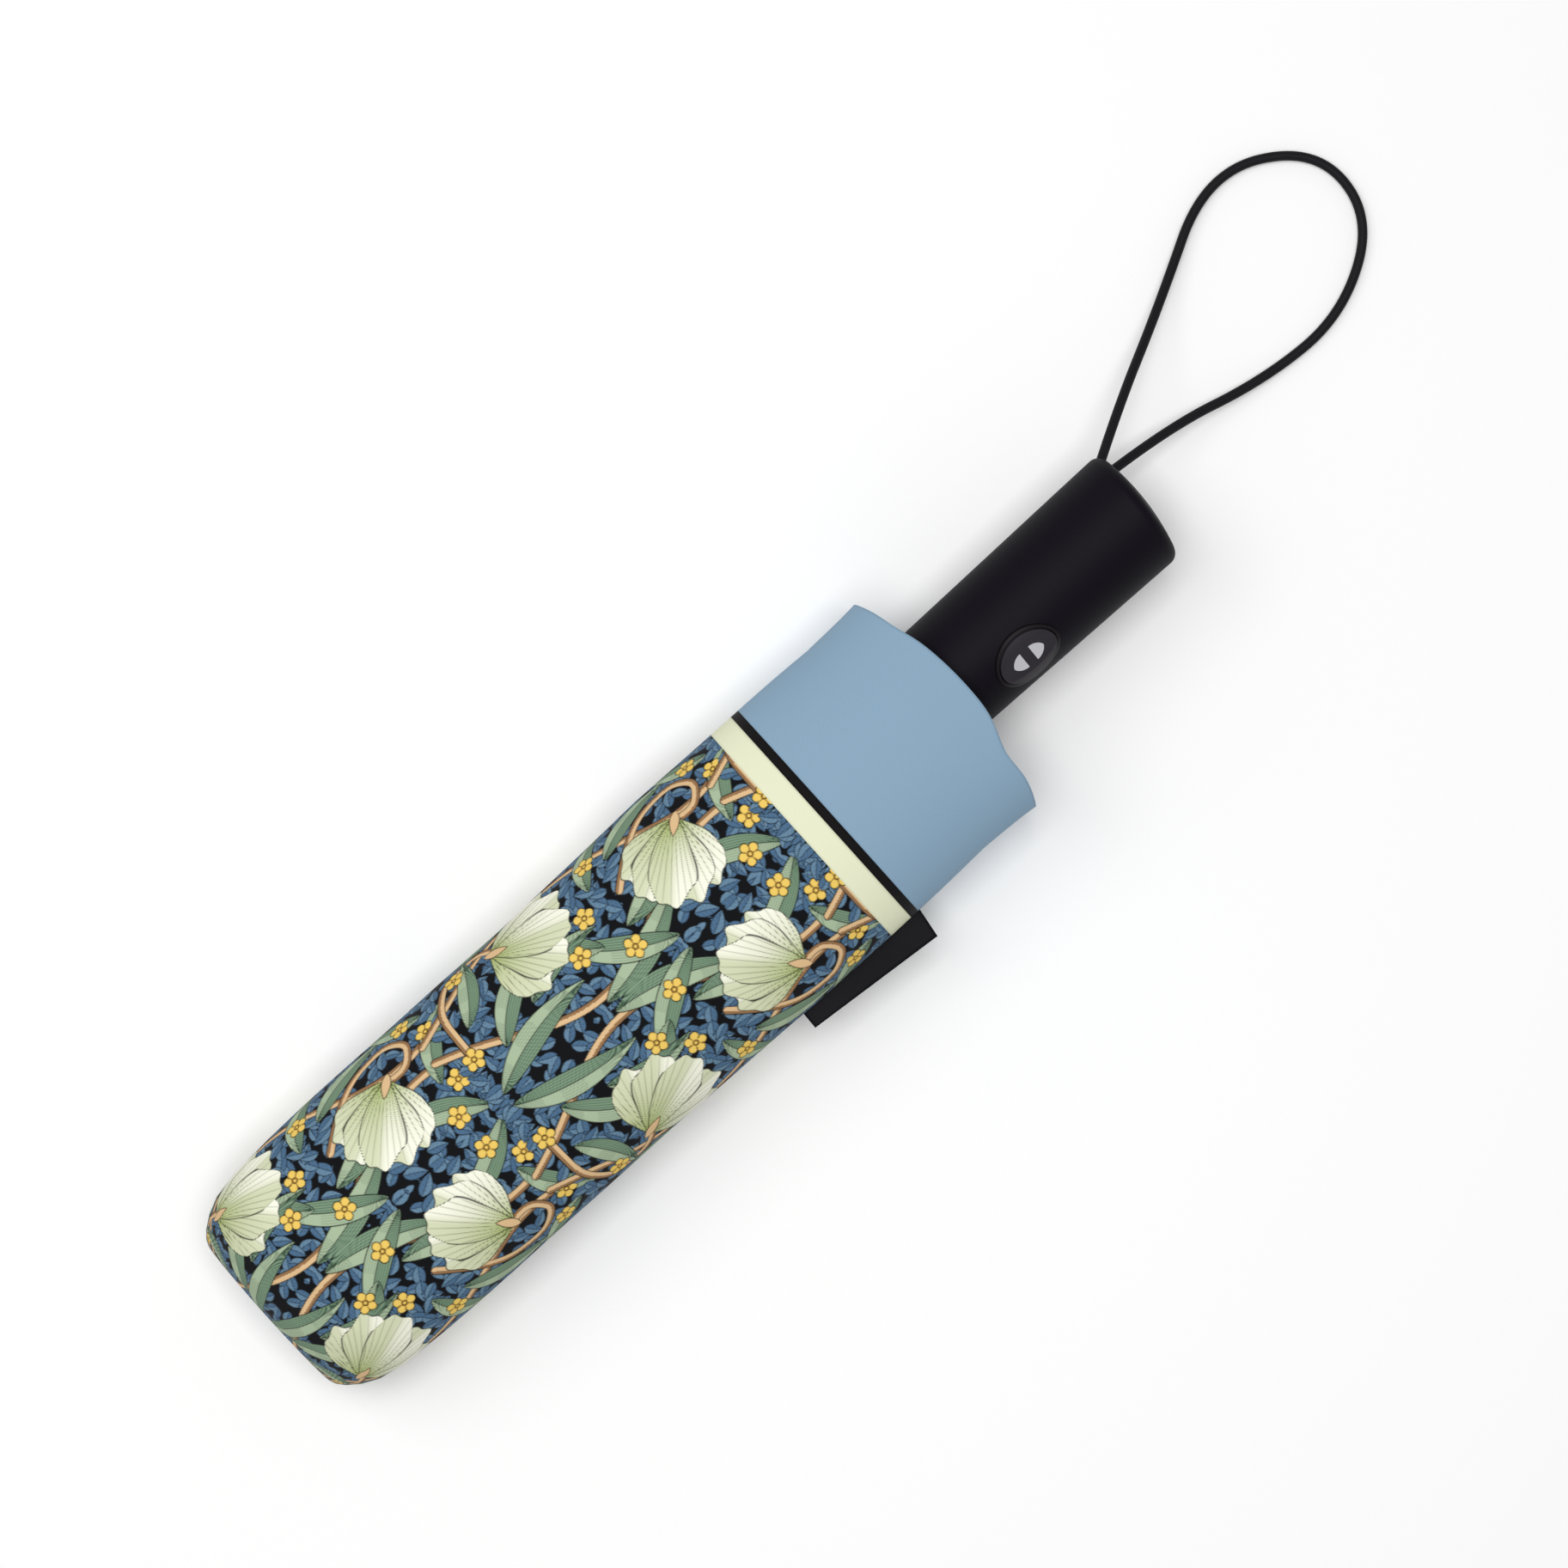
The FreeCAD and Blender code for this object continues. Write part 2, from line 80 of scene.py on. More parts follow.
def rgba(code):
    """#RRGGBB to the four values of a colour socket."""
    return (*(float(x) for x in linear(code)), 1.0)


def add(material, kind, settings=None, links=None):
    """Adds a shader node, sets its sockets and properties, and links sockets to others."""
    made = material.node_tree.nodes.new("ShaderNode" + kind)
    for key, value in (settings or {}).items():
        if isinstance(key, int) or key in made.inputs:
            made.inputs[key].default_value = value
        else:
            setattr(made, key, value)
    for key, source in (links or {}).items():
        material.node_tree.links.new(source, made.inputs[key])
    return made


def surface(name, code, roughness, **sockets):
    """A Principled material: (material, its shader)."""
    material = bpy.data.materials.new(name)
    material.use_nodes = True
    shader = material.node_tree.nodes["Principled BSDF"]
    values = {"Base Color": rgba(code), "Roughness": roughness, "IOR": 1.5}
    for key, value in {**values, **sockets}.items():
        shader.inputs[key.replace("_", " ")].default_value = value
    return material, shader


def link_normal(material, shader, height, distance, strength):
    """Relief from a height, this many metres from its lowest to its highest."""
    bump = add(material, "Bump", {"Strength": strength, "Distance": distance}, {"Height": height})
    material.node_tree.links.new(bump.outputs["Normal"], shader.inputs["Normal"])


WAVE_SCALE = 0.314  # the wave texture's scale for bands one metre apart


def weave(material, shader, pitch, depth):
    """A plain weave: warp and weft threads at this pitch, as a fine bump."""
    place = add(material, "UVMap", {"uv_map": "UVMap"})
    heights = []
    for direction in ("X", "Y"):
        wave = add(
            material,
            "TexWave",
            {"bands_direction": direction, "Scale": WAVE_SCALE / pitch, "Distortion": 0.0},
            {"Vector": place.outputs["UV"]},
        )
        heights.append(wave.outputs["Fac"])
    both = add(material, "Math", {"operation": "ADD"}, {0: heights[0], 1: heights[1]})
    link_normal(material, shader, both.outputs[0], depth, 0.4)


def names(*materials):
    """The materials' names in one line."""
    return ", ".join(material.name for material in materials)


print("mid grey in linear light", round(rgba("#808080")[0], 3))

# %% Plastics and paint
# A rubbery soft-touch paint on a moulded grip: nearly black, with a wide and very weak
# highlight. Its grain is near 0.1 mm and is drawn near 0.4 mm, or it wouldn't show.
soft_touch, soft_shader = surface("soft_touch_polymer", "#100D15", 0.6, Specular_IOR_Level=0.09)
grain = add(soft_touch, "TexNoise", {"Scale": 2600.0, "Detail": 2.0})
grain_place = add(soft_touch, "TexCoord")
soft_touch.node_tree.links.new(grain_place.outputs["Object"], grain.inputs["Vector"])
link_normal(soft_touch, soft_shader, grain.outputs["Fac"], 0.00002, 0.35)

# Moulded ABS is a little glossier than the grip: the bezel black, the button a shade lighter.
black_plastic, _ = surface("black_abs", "#141115", 0.36, Specular_IOR_Level=0.22)
button_plastic, _ = surface("grey_abs", "#28252B", 0.45, Specular_IOR_Level=0.3)
# Moulded nylon, for the runner, the crown and the handle's core: dull and even.
core_plastic, _ = surface("moulded_nylon", "#1C1B1D", 0.5)
# The button's arrows are filled with silver ink, which is grey and only slightly metallic.
silver_ink, _ = surface("silver_ink", "#CFCFD3", 0.4, Metallic=0.2)
print("plastics:", names(soft_touch, black_plastic, button_plastic, core_plastic, silver_ink))

# %% Metals
# Bare spring steel is grey and satin. Chromed tube mirrors the softboxes. The ribs are steel
# under a smooth black lacquer, which is all that shows, and the outer ones drawn aluminium.
steel, _ = surface("spring_steel", "#A9A9A8", 0.32, Metallic=1.0)
chrome, _ = surface("chromed_steel", "#C9CBCE", 0.12, Metallic=1.0)
black_steel, _ = surface("black_lacquered_steel", "#1A1A1B", 0.3)
aluminium, _ = surface("drawn_aluminium", "#B9BBBD", 0.3, Metallic=1.0)

print("metals:", names(steel, chrome, black_steel, aluminium))

# %% Cloths
# Pongee is a plain weave of fine polyester: matt, with hardly any sheen. Its threads lie near
# 0.15 mm apart and are drawn at 0.4 mm, or they wouldn't show.
THREAD, THREAD_HEIGHT = 0.4 * MM, 0.03 * MM
CLOTH = {"Specular IOR Level": 0.12, "Sheen Weight": 0.03, "Sheen Roughness": 0.5}


def cloth(name, code, roughness=0.8):
    """A plain woven cloth: matt, with a fine thread relief."""
    material, shader = surface(name, code, roughness, **CLOTH)
    weave(material, shader, THREAD, THREAD_HEIGHT)
    return material


blue_cloth = cloth("blue_pongee", "#89A6BD")
pale_cloth = cloth("pale_green_pongee", "#E6E9CA")
black_cloth = cloth("black_woven_ribbon", "#121011")
label_cloth = cloth("black_satin_label", "#100E13", 0.6)  # satin lies flatter, so it shines more
canopy_cloth = cloth("black_pongee", "#131419")
print("cloths:", names(blue_cloth, pale_cloth, black_cloth, label_cloth, canopy_cloth))

# %% [markdown]
# ## The camera, the light and the floor
# The object lies on a white table and is seen from straight above, turned so that the handle
# points up and to the right. A wide lens close by would show its sides; a long lens further away
# keeps the outline true. A large softbox overhead gives soft light without a hard shadow, and a
# smaller one to the side gives the folds and the handle some shape.

# %% Camera
scene = bpy.context.scene
TURN = math.radians(42.0)
LENS, SENSOR = 100.0, 36.0
SPAN = 0.3919  # width in view at the object, in metres
VIEW_HEIGHT = SPAN * LENS / SENSOR
camera_data = bpy.data.cameras.new("camera")
camera_data.lens, camera_data.sensor_width = LENS, SENSOR
camera = bpy.data.objects.new("camera", camera_data)
scene.collection.objects.link(camera)
LOOK = Vector((0.0356, 0.0166, 0.025))
camera.location = LOOK + Vector((0, 0, VIEW_HEIGHT))
camera.rotation_euler = (0, 0, -TURN)
camera_data.clip_start, camera_data.clip_end = 0.05, 20
scene.camera = camera
print("camera", [round(x, 4) for x in camera.location])

# %% Light and floor
world = bpy.data.worlds.new("studio")
world.use_nodes = True
world.node_tree.nodes["Background"].inputs["Color"].default_value = (1, 1, 1, 1)
world.node_tree.nodes["Background"].inputs["Strength"].default_value = 0.3
scene.world = world


def lamp(name, at, target, size, watts):
    """A square softbox at a place, turned to a target."""
    data = bpy.data.lights.new(name, "AREA")
    data.shape, data.size, data.energy = "SQUARE", size, watts
    obj = bpy.data.objects.new(name, data)
    scene.collection.objects.link(obj)
    obj.location = at
    obj.rotation_euler = (Vector(target) - Vector(at)).to_track_quat("-Z", "Y").to_euler()


lamp("overhead_softbox", (0.03, 0.05, 1.6), (0.03, 0, 0), 0.9, 16.5)
lamp("key_softbox", (-0.25, 0.6, 1.0), (0, 0, 0), 0.6, 2.4)

floor_mesh = bpy.data.meshes.new("floor")
FLOOR_HALF, FLOOR_DROP = 4.0, 0.2 * MM
corners = [(-1, -1), (1, -1), (1, 1), (-1, 1)]
floor_corners = [(x * FLOOR_HALF, y * FLOOR_HALF, 0) for x, y in corners]
floor_mesh.from_pydata(floor_corners, [], [(0, 1, 2, 3)])
floor = bpy.data.objects.new("floor", floor_mesh)
scene.collection.objects.link(floor)
floor.location.z = -FLOOR_DROP
paper, _ = surface("white_paper", "#FFFFFF", 0.9)
floor_mesh.materials.append(paper)
scene.view_settings.view_transform = "Standard"
print("stage ready")

# %% [markdown]
# ## The wrist loop
# A braided polyester cord, both ends crimped inside the handle, lying loose on the table. A
# swept mesh would do, but a curve with a round bevel keeps the cord's thickness the same all
# along and its length easy to measure. It follows the same corners as the CAD tube, and with
# order three it rounds each of them, as the soft cord does.

# %% Wrist loop
# corners in mm: along, across from the shaft, and up; the first and last are in the handle
LOOP = [
    (139.0, 9.0, 27.0),
    (159.0, 20.6, 21.0),
    (188.0, 34.0, 4.0),
    (220.0, 51.5, 1.6),
    (245.0, 38.0, 1.6),
    (244.5, 15.0, 1.6),
    (222.0, 1.0, 1.6),
    (196.0, 2.0, 1.6),
    (166.5, 10.0, 8.5),
    (139.0, 11.5, 22.0),
]
CORD, CORD_LENGTH = 2.5 * MM, 0.2548
points = [Vector((x * MM, y * MM + SHAFT_Y, z * MM)) for x, y, z in LOOP]
curve = bpy.data.curves.new("wrist_loop", "CURVE")
curve.dimensions, curve.resolution_u = "3D", 24
spline = curve.splines.new("NURBS")
spline.points.add(len(points) - 1)
for point, place in zip(spline.points, points):
    point.co = (*place, 1.0)
spline.order_u = 3
spline.use_endpoint_u = True
curve.bevel_depth, curve.bevel_resolution = CORD / 2, 6
curve.use_fill_caps = True
loop = bpy.data.objects.new("wrist_loop_cord", curve)
scene.collection.objects.link(loop)
cord_material, _ = surface("braided_polyester_cord", "#17161A", 0.6, **CLOTH)
curve.materials.append(cord_material)
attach(loop, "handle")
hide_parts("wrist_loop")
print("cord of", len(points), "corners,", round(CORD_LENGTH / MM, 1), "mm long")

# %% [markdown]
# ## The sleeve's shape
# The sleeve is a sewn bag round the folded ribs: an oval section with soft dents along it. It
# could be simulated as cloth, but that wouldn't give the same folds each run. Here one function
# gives the surface point for a place along the sleeve and round it, so the printed body, the
# pale band, the black stripe and the blue collar all join without a step.

# %% Sleeve surface
# half width, half height and middle height along the sleeve, in mm
STATIONS = np.array([
    (-150.0, 23.2, 7.0, 15.0),
    (-149.0, 24.6, 11.5, 16.6),
    (-147.0, 26.4, 15.5, 18.6),
    (-143.5, 28.7, 18.6, 20.6),
    (-139.0, 30.7, 21.0, 22.0),
    (-132.0, 32.0, 23.0, 23.2),
    (-120.0, 32.6, 24.1, 24.0),
    (-90.0, 33.0, 24.3, 24.2),
    (-40.0, 32.8, 24.2, 24.2),
    (-15.0, 33.3, 24.3, 24.2),
    (5.0, 33.9, 24.3, 24.2),
    (30.0, 33.8, 24.3, 24.2),
    (46.0, 33.5, 24.1, 24.1),
    (62.0, 33.1, 24.0, 24.1),
    (74.0, 33.7, 23.9, 24.1),
    (86.0, 34.7, 23.6, 24.0),
])


DENT, LIFT = 0.35, 0.5  # the most that the cloth dents at the sides or lifts on top, in mm


def ripple(x, angle, seed, scale):
    """A smooth wavy value from -1 to 1, a mean of seven cosines that is the same each run."""
    rng = np.random.default_rng(seed)
    total = 0.0
    for _ in range(7):
        fx, fa = rng.uniform(0.3, 1.4) / scale, rng.integers(1, 5)
        total = total + np.cos(2 * np.pi * fx * x + fa * angle + rng.uniform(0, 6.28)) / 7
    return total


def sleeve_points(x, turn):
    """Surface points in mm for arrays of places along and turns round, 0 at the +Y side."""
    a, b, middle = (np.interp(x, STATIONS[:, 0], STATIONS[:, i]) for i in (1, 2, 3))
    c, s = np.cos(turn), np.sin(turn)
    y = a * np.sign(c) * np.abs(c) ** 0.97
    z = b * np.sign(s) * np.abs(s) ** 0.94
    soft = np.clip((x + 150) / 14, 0, 1)
    dent = DENT * ripple(x, turn, 3, 55.0) * soft
    crown = np.clip(s, 0, 1)
    lift = LIFT * ripple(x, turn, 8, 38.0) * crown * soft
    y = y * (1 + dent / 33)
    z = middle + z + lift
    return np.stack([x, y + SLEEVE_Y / MM, np.maximum(z, 0.15)], -1)


print("sections", len(STATIONS), "from", STATIONS[0, 0], "to", STATIONS[-1, 0], "mm")


# %% Cloth meshes
def grid_mesh(name, points, closed=True):
    """A mesh from a grid of points in mm: rows along, columns round."""
    rows, columns = points.shape[:2]
    index = np.arange(rows * columns).reshape(rows, columns)
    right = np.roll(index, -1, 1) if closed else index[:, 1:]
    left = index if closed else index[:, :-1]
    quads = np.stack([left[:-1], right[:-1], right[1:], left[1:]], -1).reshape(-1, 4)
    mesh = bpy.data.meshes.new(name)
    mesh.vertices.add(rows * columns)
    mesh.vertices.foreach_set("co", (points.reshape(-1, 3) * MM).astype(np.float32).ravel())
    mesh.loops.add(quads.size)
    mesh.loops.foreach_set("vertex_index", quads.ravel().astype(np.int32))
    mesh.polygons.add(len(quads))
    mesh.polygons.foreach_set("loop_start", np.arange(0, quads.size, 4, dtype=np.int32))
    mesh.update(calc_edges=True)
    mesh.polygons.foreach_set("use_smooth", np.ones(len(quads), bool))
    mesh.validate()
    return mesh, quads


def set_uv(mesh, quads, u, v):
    """Flat cloth places in metres as the mesh's UV map."""
    layer = mesh.uv_layers.new(name="UVMap")
    flat = np.stack([u.ravel(), v.ravel()], -1)[quads.ravel()] * MM
    layer.data.foreach_set("uv", flat.astype(np.float32).ravel())


# %% Adding a piece
def show(name, mesh, body, node, material):
    """Adds a piece that rides a body, stands for a CAD node if one is named, and fills a slot."""
    obj = bpy.data.objects.new(name, mesh)
    scene.collection.objects.link(obj)
    mesh.materials.append(material)
    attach(obj, body)
    if node:
        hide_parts(node)
    return obj


def thicken(obj, name, thickness, offset):
    """Gives a cloth piece a wall, in mm: offset -1 puts it inside, 1 outside, 0 halfway."""
    wall = obj.modifiers.new(name, "SOLIDIFY")
    wall.thickness, wall.offset = thickness * MM, offset


def around(points):
    """How far round a section each of its points lies, in mm."""
    steps = np.linalg.norm(np.diff(points, axis=0, append=points[:1]), axis=-1)
    return np.concatenate([[0], np.cumsum(steps)])


print("height at the mouth", round(2 * STATIONS[-1, 2], 1), "mm")

# %% [markdown]
# ## The printed pattern
# The sleeve is printed with cream blossoms and green leaves on a dark ground. A ready-made
# texture would be quicker, but a pattern worked out from shapes keeps its size in mm. It is
# painted on the cloth in its flat state, u along and v across from the middle line. Each motif
# is a shape with its own local frame, and later ones lie over earlier ones. The whole repeat is
# mirrored about the sleeve's middle line. The colours are kept on the points of a fine mesh.

# %% Flat cloth to paint on
GROUND, INK = linear("#0C0D11"), linear("#0B0B0C")
CREAM, WHITE, OLIVE = linear("#F3F4D8"), linear("#FFFFF6"), linear("#9FAE5E")
SAGE, MOSS, PALE_SAGE = linear("#7F9A7F"), linear("#2F4838"), linear("#A9BC9D")
SLATE, PALE_SLATE, DEEP = linear("#4D6D8B"), linear("#66869F"), linear("#1E3145")
TAN, TAN_DARK = linear("#DFBC8E"), linear("#96724F")
YELLOW, BROWN = linear("#EFCB66"), linear("#6B4A1E")
EDGE = 0.22  # width of a motif's soft edge, in mm


class Canvas:
    """A rectangle of flat cloth, rows along and columns across, painted shape by shape."""

    def __init__(self, u, v):
        self.u, self.v = u, v
        self.colour = np.tile(GROUND, (u.size, v.size, 1))

    def near(self, at, angle, reach):
        """(rows and columns, x, y) of the places within reach of a motif, in its own frame."""
        rows = slice(*np.searchsorted(self.u, (at[0] - reach, at[0] + reach)))
        columns = slice(*np.searchsorted(self.v, (at[1] - reach, at[1] + reach)))
        du, dv = self.u[rows, None] - at[0], self.v[None, columns] - at[1]
        c, s = math.cos(angle), math.sin(angle)
        return (rows, columns), du * c + dv * s, dv * c - du * s

    def lay(self, where, cover, colour):
        """Mixes a colour, or one per place, over what is there."""
        cover = np.clip(cover, 0, 1)[..., None]
        self.colour[where] = self.colour[where] * (1 - cover) + colour * cover


def inside(distance):
    """Cover from a distance in mm, negative inside, with a soft edge."""
    return 0.5 - distance / EDGE


def stripes(value, spacing, width):
    """Cover of fine lines at this spacing, both in mm."""
    return inside(np.abs(np.mod(value / spacing + 0.5, 1) - 0.5) * spacing - width / 2)


print("cover at an edge", inside(0.0))


# %% Leaves
def leaf_shape(x, y, length, width, bend=0.0, blunt=0.8):
    """A bent leaf from the origin along +x: (distance outside it, place beside its middle,
    half its width there)."""
    t = np.clip(x / length, 0, 1)
    half = width / 2 * np.sin(np.pi * t**blunt) ** 0.85
    side = y - bend * length * t * (1 - t) * 2
    beyond = np.maximum(-x, x - length)
    across = np.abs(side) - half
    return np.where(beyond > 0, np.hypot(beyond, np.maximum(across, 0)), across), side, half


def leaf(canvas, at, angle, length, width, bend=0.0):
    """A long sage leaf: inked rim, one half light, the other shaded with fine lines."""
    near, x, y = canvas.near(at, angle, length + 2)
    distance, side, half = leaf_shape(x, y, length, width, bend)
    canvas.lay(near, inside(distance - 0.3), INK)
    canvas.lay(near, inside(distance), np.where((side > 0)[..., None], PALE_SAGE, SAGE))
    within = inside(distance + 0.15)
    lines = stripes(side / np.maximum(half, 0.3) * 3, 0.62, 0.17 * 3 / np.maximum(half, 0.9))
    fade = np.where(side < 0, 0.9, 0.45 * (np.mod(x / length * 3, 1) < 0.6))
    canvas.lay(near, np.clip(lines, 0, 1) * fade * np.clip(within, 0, 1), MOSS)
    canvas.lay(near, inside(np.abs(side) - 0.13) * np.clip(within, 0, 1), INK)


def leaflet(canvas, at, angle, length, width):
    """A small slate leaflet with a middle vein and side ribs."""
    near, x, y = canvas.near(at, angle, length + 1)
    distance, side, _ = leaf_shape(x, y, length, width, 0.06, 0.75)
    canvas.lay(near, inside(distance - 0.22), INK)
    canvas.lay(near, inside(distance), np.where((side > 0)[..., None], PALE_SLATE, SLATE))
    within = np.clip(inside(distance + 0.15), 0, 1)
    canvas.lay(near, stripes(x - np.abs(side) * 0.9, 1.15, 0.12) * 0.55 * within, DEEP)
    canvas.lay(near, inside(np.abs(side) - 0.1) * within, DEEP)


print("half width of a leaf", round(float(leaf_shape(17.0, 0.0, 34, 6.6)[2]), 2), "mm")


# %% Stems and small flowers
def smooth_path(corners, steps=70):
    """Evenly numbered places on a smooth curve near the corners."""
    corners = np.array(corners, float)
    t = np.linspace(0, len(corners) - 1, steps)
    path = np.stack([np.interp(t, range(len(corners)), corners[:, i]) for i in (0, 1)], -1)
    for _ in range(30):
        path[1:-1] = (path[:-2] + path[2:] + 2 * path[1:-1]) / 4
    return path


def stem(canvas, corners, width):
    """A curling tan stem with an inked rim and one darker side."""
    path = smooth_path(corners)
    middle, reach = path.mean(0), np.ptp(path, 0).max() + 2
    near, x, y = canvas.near(middle, 0.0, reach)
    best, lean = np.full(x.shape, 1e9), np.zeros(x.shape)
    for a, b in zip(path[:-1] - middle, path[1:] - middle):
        d = b - a
        k = np.clip(((x - a[0]) * d[0] + (y - a[1]) * d[1]) / (d @ d + 1e-9), 0, 1)
        gap_x, gap_y = x - a[0] - k * d[0], y - a[1] - k * d[1]
        gap = np.hypot(gap_x, gap_y)
        lean = np.where(gap < best, (d[0] * gap_y - d[1] * gap_x) / (np.hypot(*d) + 1e-9), lean)
        best = np.minimum(best, gap)
    canvas.lay(near, inside(best - width / 2 - 0.25), INK)
    canvas.lay(near, inside(best - width / 2), np.where((lean > 0.1 * width)[..., None], TAN_DARK, TAN))


def small_flower(canvas, at, radius, angle):
    """Five round yellow petals with a dark centre."""
    near, x, y = canvas.near(at, angle, radius * 1.6)
    r, a = np.hypot(x, y), np.arctan2(y, x)
    rim = radius * (0.66 + 0.34 * np.abs(np.cos(2.5 * a)))
    canvas.lay(near, inside(r - rim - 0.3), INK)
    canvas.lay(near, inside(r - rim), YELLOW)
    cleft = np.abs(np.sin(2.5 * a)) > 0.95
    canvas.lay(near, cleft * (r > radius * 0.3) * (r < rim) * 0.8, BROWN)
    canvas.lay(near, inside(r - radius * 0.3), BROWN)
    canvas.lay(near, inside(r - radius * 0.14), YELLOW)


print("a stem is drawn through", len(smooth_path([(0, 0), (9, 3)])), "places")


# %% Blossoms
def petal(canvas, at, angle, length, width):
    """A broad cream petal: frilled tip, olive heart, inked rim and veins that fan out."""
    near, x, y = canvas.near(at, angle, length * 1.2)
    t = np.clip(x / length, 0, 1)
    half = width / 2 * np.sin(np.pi * np.clip(t * 0.8 + 0.05, 0, 1) ** 1.2) ** 0.75
    frill = 0.03 * length * np.sin(26 * y / length + 3 * angle)
    tip = length * (1.0 - 0.3 * (2 * y / width) ** 2) + frill
    distance = np.maximum(np.abs(y) - half - frill * t, np.maximum(x - tip, -x))
    canvas.lay(near, inside(distance - 0.3), INK)
    pale = 1 - (1 - t[..., None]) ** 2.4
    shadow = np.clip(1.3 - 2.2 * np.abs(y / width + 0.45), 0, 0.45)[..., None]
    shade = OLIVE * (1 - pale) + (CREAM * 0.5 + WHITE * 0.5) * pale
    canvas.lay(near, inside(distance), shade * (1 - shadow) + OLIVE * shadow)
    fan = y / np.maximum(x + 0.25 * length, 1.0) * length
    veins = np.clip(stripes(fan, width / 7, 0.2), 0, 1) * np.clip(1.3 - t, 0.3, 0.95)
    canvas.lay(near, veins * np.clip(inside(distance + 0.2), 0, 1), OLIVE * 0.2)


def blossom(canvas, at, angle, radius, petals=5, spread=1.5):
    """Broad petals that fan out from a stem, the middle one in front, and the cup they sit in."""
    middle = (petals - 1) / 2
    for n in sorted(range(petals), key=lambda n: -abs(n - middle)):
        lean = (n - middle) * spread / petals
        reach = radius * (1.0 - 0.12 * (abs(n - middle) / max(middle, 1)) ** 2)
        petal(canvas, at, angle + lean, reach, radius * 0.56)
    near, x, y = canvas.near(at, angle, radius)
    cup, _, _ = leaf_shape(x + 0.12 * radius, y, 0.3 * radius, 0.11 * radius)
    canvas.lay(near, inside(cup - 0.25), INK)
    canvas.lay(near, inside(cup), TAN)


print("cream", [round(float(x), 3) for x in CREAM])

# %% The repeat
# Lengths in mm and angles in radians. A leaf: along, across, angle, length, width and bend. A
# blossom: along, across, angle, radius and spread. Curls are corners, flowers are middles.
REPEAT, FIRST = 96.0, -166.0
PAINTED = range(-1, 3)  # the repeats that cover the sleeve from its closed end
LEAVES = [
    (4, 2, 0.22, 34, 6.6, 0.14), (96, 2, 2.75, 30, 6.0, -0.16), (38, 1.5, 0.35, 34, 6.8, -0.14),
    (62, 2, 2.5, 32, 6.4, 0.16), (12, 10, 0.62, 27, 6.4, 0.18), (54, 12, 0.5, 24, 6.0, -0.2),
    (46, 12, 2.2, 22, 5.8, 0.18), (90, 14, 0.95, 24, 5.8, 0.2), (8, 20, 1.2, 22, 5.8, -0.18),
    (52, 26, 1.05, 22, 5.8, 0.2), (60, 30, 0.35, 26, 6.4, 0.2), (96, 34, 2.5, 20, 5.6, 0.2),
    (24, 14, 0.15, 24, 5.6, 0.22), (66, 10, 0.75, 18, 5.4, -0.2), (34, 20, 0.9, 18, 5.2, 0.2),
    (10, 44, 0.2, 28, 6.4, -0.2), (44, 46, 0.3, 28, 6.4, 0.2), (80, 50, 0.6, 24, 6.2, -0.2),
    (4, 64, 0.5, 28, 6.4, 0.16), (38, 68, -0.3, 30, 6.4, -0.16), (70, 66, 0.5, 28, 6.2, 0.16),
    (14, 82, 0.2, 28, 6.2, 0.16), (52, 86, -0.2, 30, 6.2, 0.16), (84, 84, 0.4, 26, 6.0, 0.2),
]
BLOSSOMS = [
    (79.5, 24.0, -2.32, 21.5, 1.6), (24.0, 33.0, -0.42, 22.5, 2.1), (60, 72.0, -2.4, 21.0, 1.6),
    (16.0, 74.0, -0.5, 21.0, 1.9),
]
CURLS = [
    [(58, 20), (72, 33), (84, 35), (90, 29), (86, 23), (78, 24)],
    [(4, 14), (4, 28), (10, 38), (20, 39), (26, 32)],
    [(40, 60), (52, 78), (64, 78), (60, 72)],
    [(98, 58), (106, 72), (112, 80), (114, 74)],
]
FLOWERS = [
    (88, 5), (94, 12), (90, 36), (95, 28), (52, 7), (47, 21), (55, 34), (4, 13), (12, 36), (40, 14),
    (44, 58), (30, 64), (8, 50), (84, 62), (74, 88),
]


print(len(LEAVES), "leaves and", len(BLOSSOMS), "blossoms every", REPEAT, "mm")


# %% Painting the repeat
def wave(middle, swing, phase):
    """A stem that winds along the cloth and meets itself at the next repeat."""
    return [(u, middle + swing * math.sin(2 * math.pi * u / REPEAT + phase)) for u in range(-4, 101, 8)]


def paint(canvas, start):
    """One repeat: leaflets fill the ground, then stems, leaves, blossoms and small flowers."""
    rng = np.random.default_rng(21)
    for row, v in enumerate(np.arange(0.5, 98, 3.1)):
        for column, u in enumerate(np.arange(-1.0 + (row % 2) * 2.1, REPEAT + 1, 4.2)):
            flow = 1.5 * math.sin(u / 9.5 + v / 21) + 1.2 * math.cos(v / 7.5 - u / 19)
            turn = flow + (0.7 if column % 2 else -0.7) + rng.uniform(-0.2, 0.2)
            size = rng.uniform(5.0, 6.2)
            leaflet(canvas, (start + u, v + rng.uniform(-0.4, 0.4)), turn, size, size * 0.5)
    waves = [wave(11, 8.5, 2.2), wave(33, 9, 5.4), wave(60, 10, 1.0), wave(84, 8, 4.0)]
    for corners in waves + CURLS:
        stem(canvas, [(start + u, v) for u, v in corners], 1.9)
    for u, v, *shape in LEAVES:
        leaf(canvas, (start + u, v), *shape)
    for u, v, angle, radius, spread in BLOSSOMS:
        blossom(canvas, (start + u, v), angle, radius, 5, spread)
    for u, v in FLOWERS:
        small_flower(canvas, (start + u, v), 2.9, rng.uniform(0, 1.2))


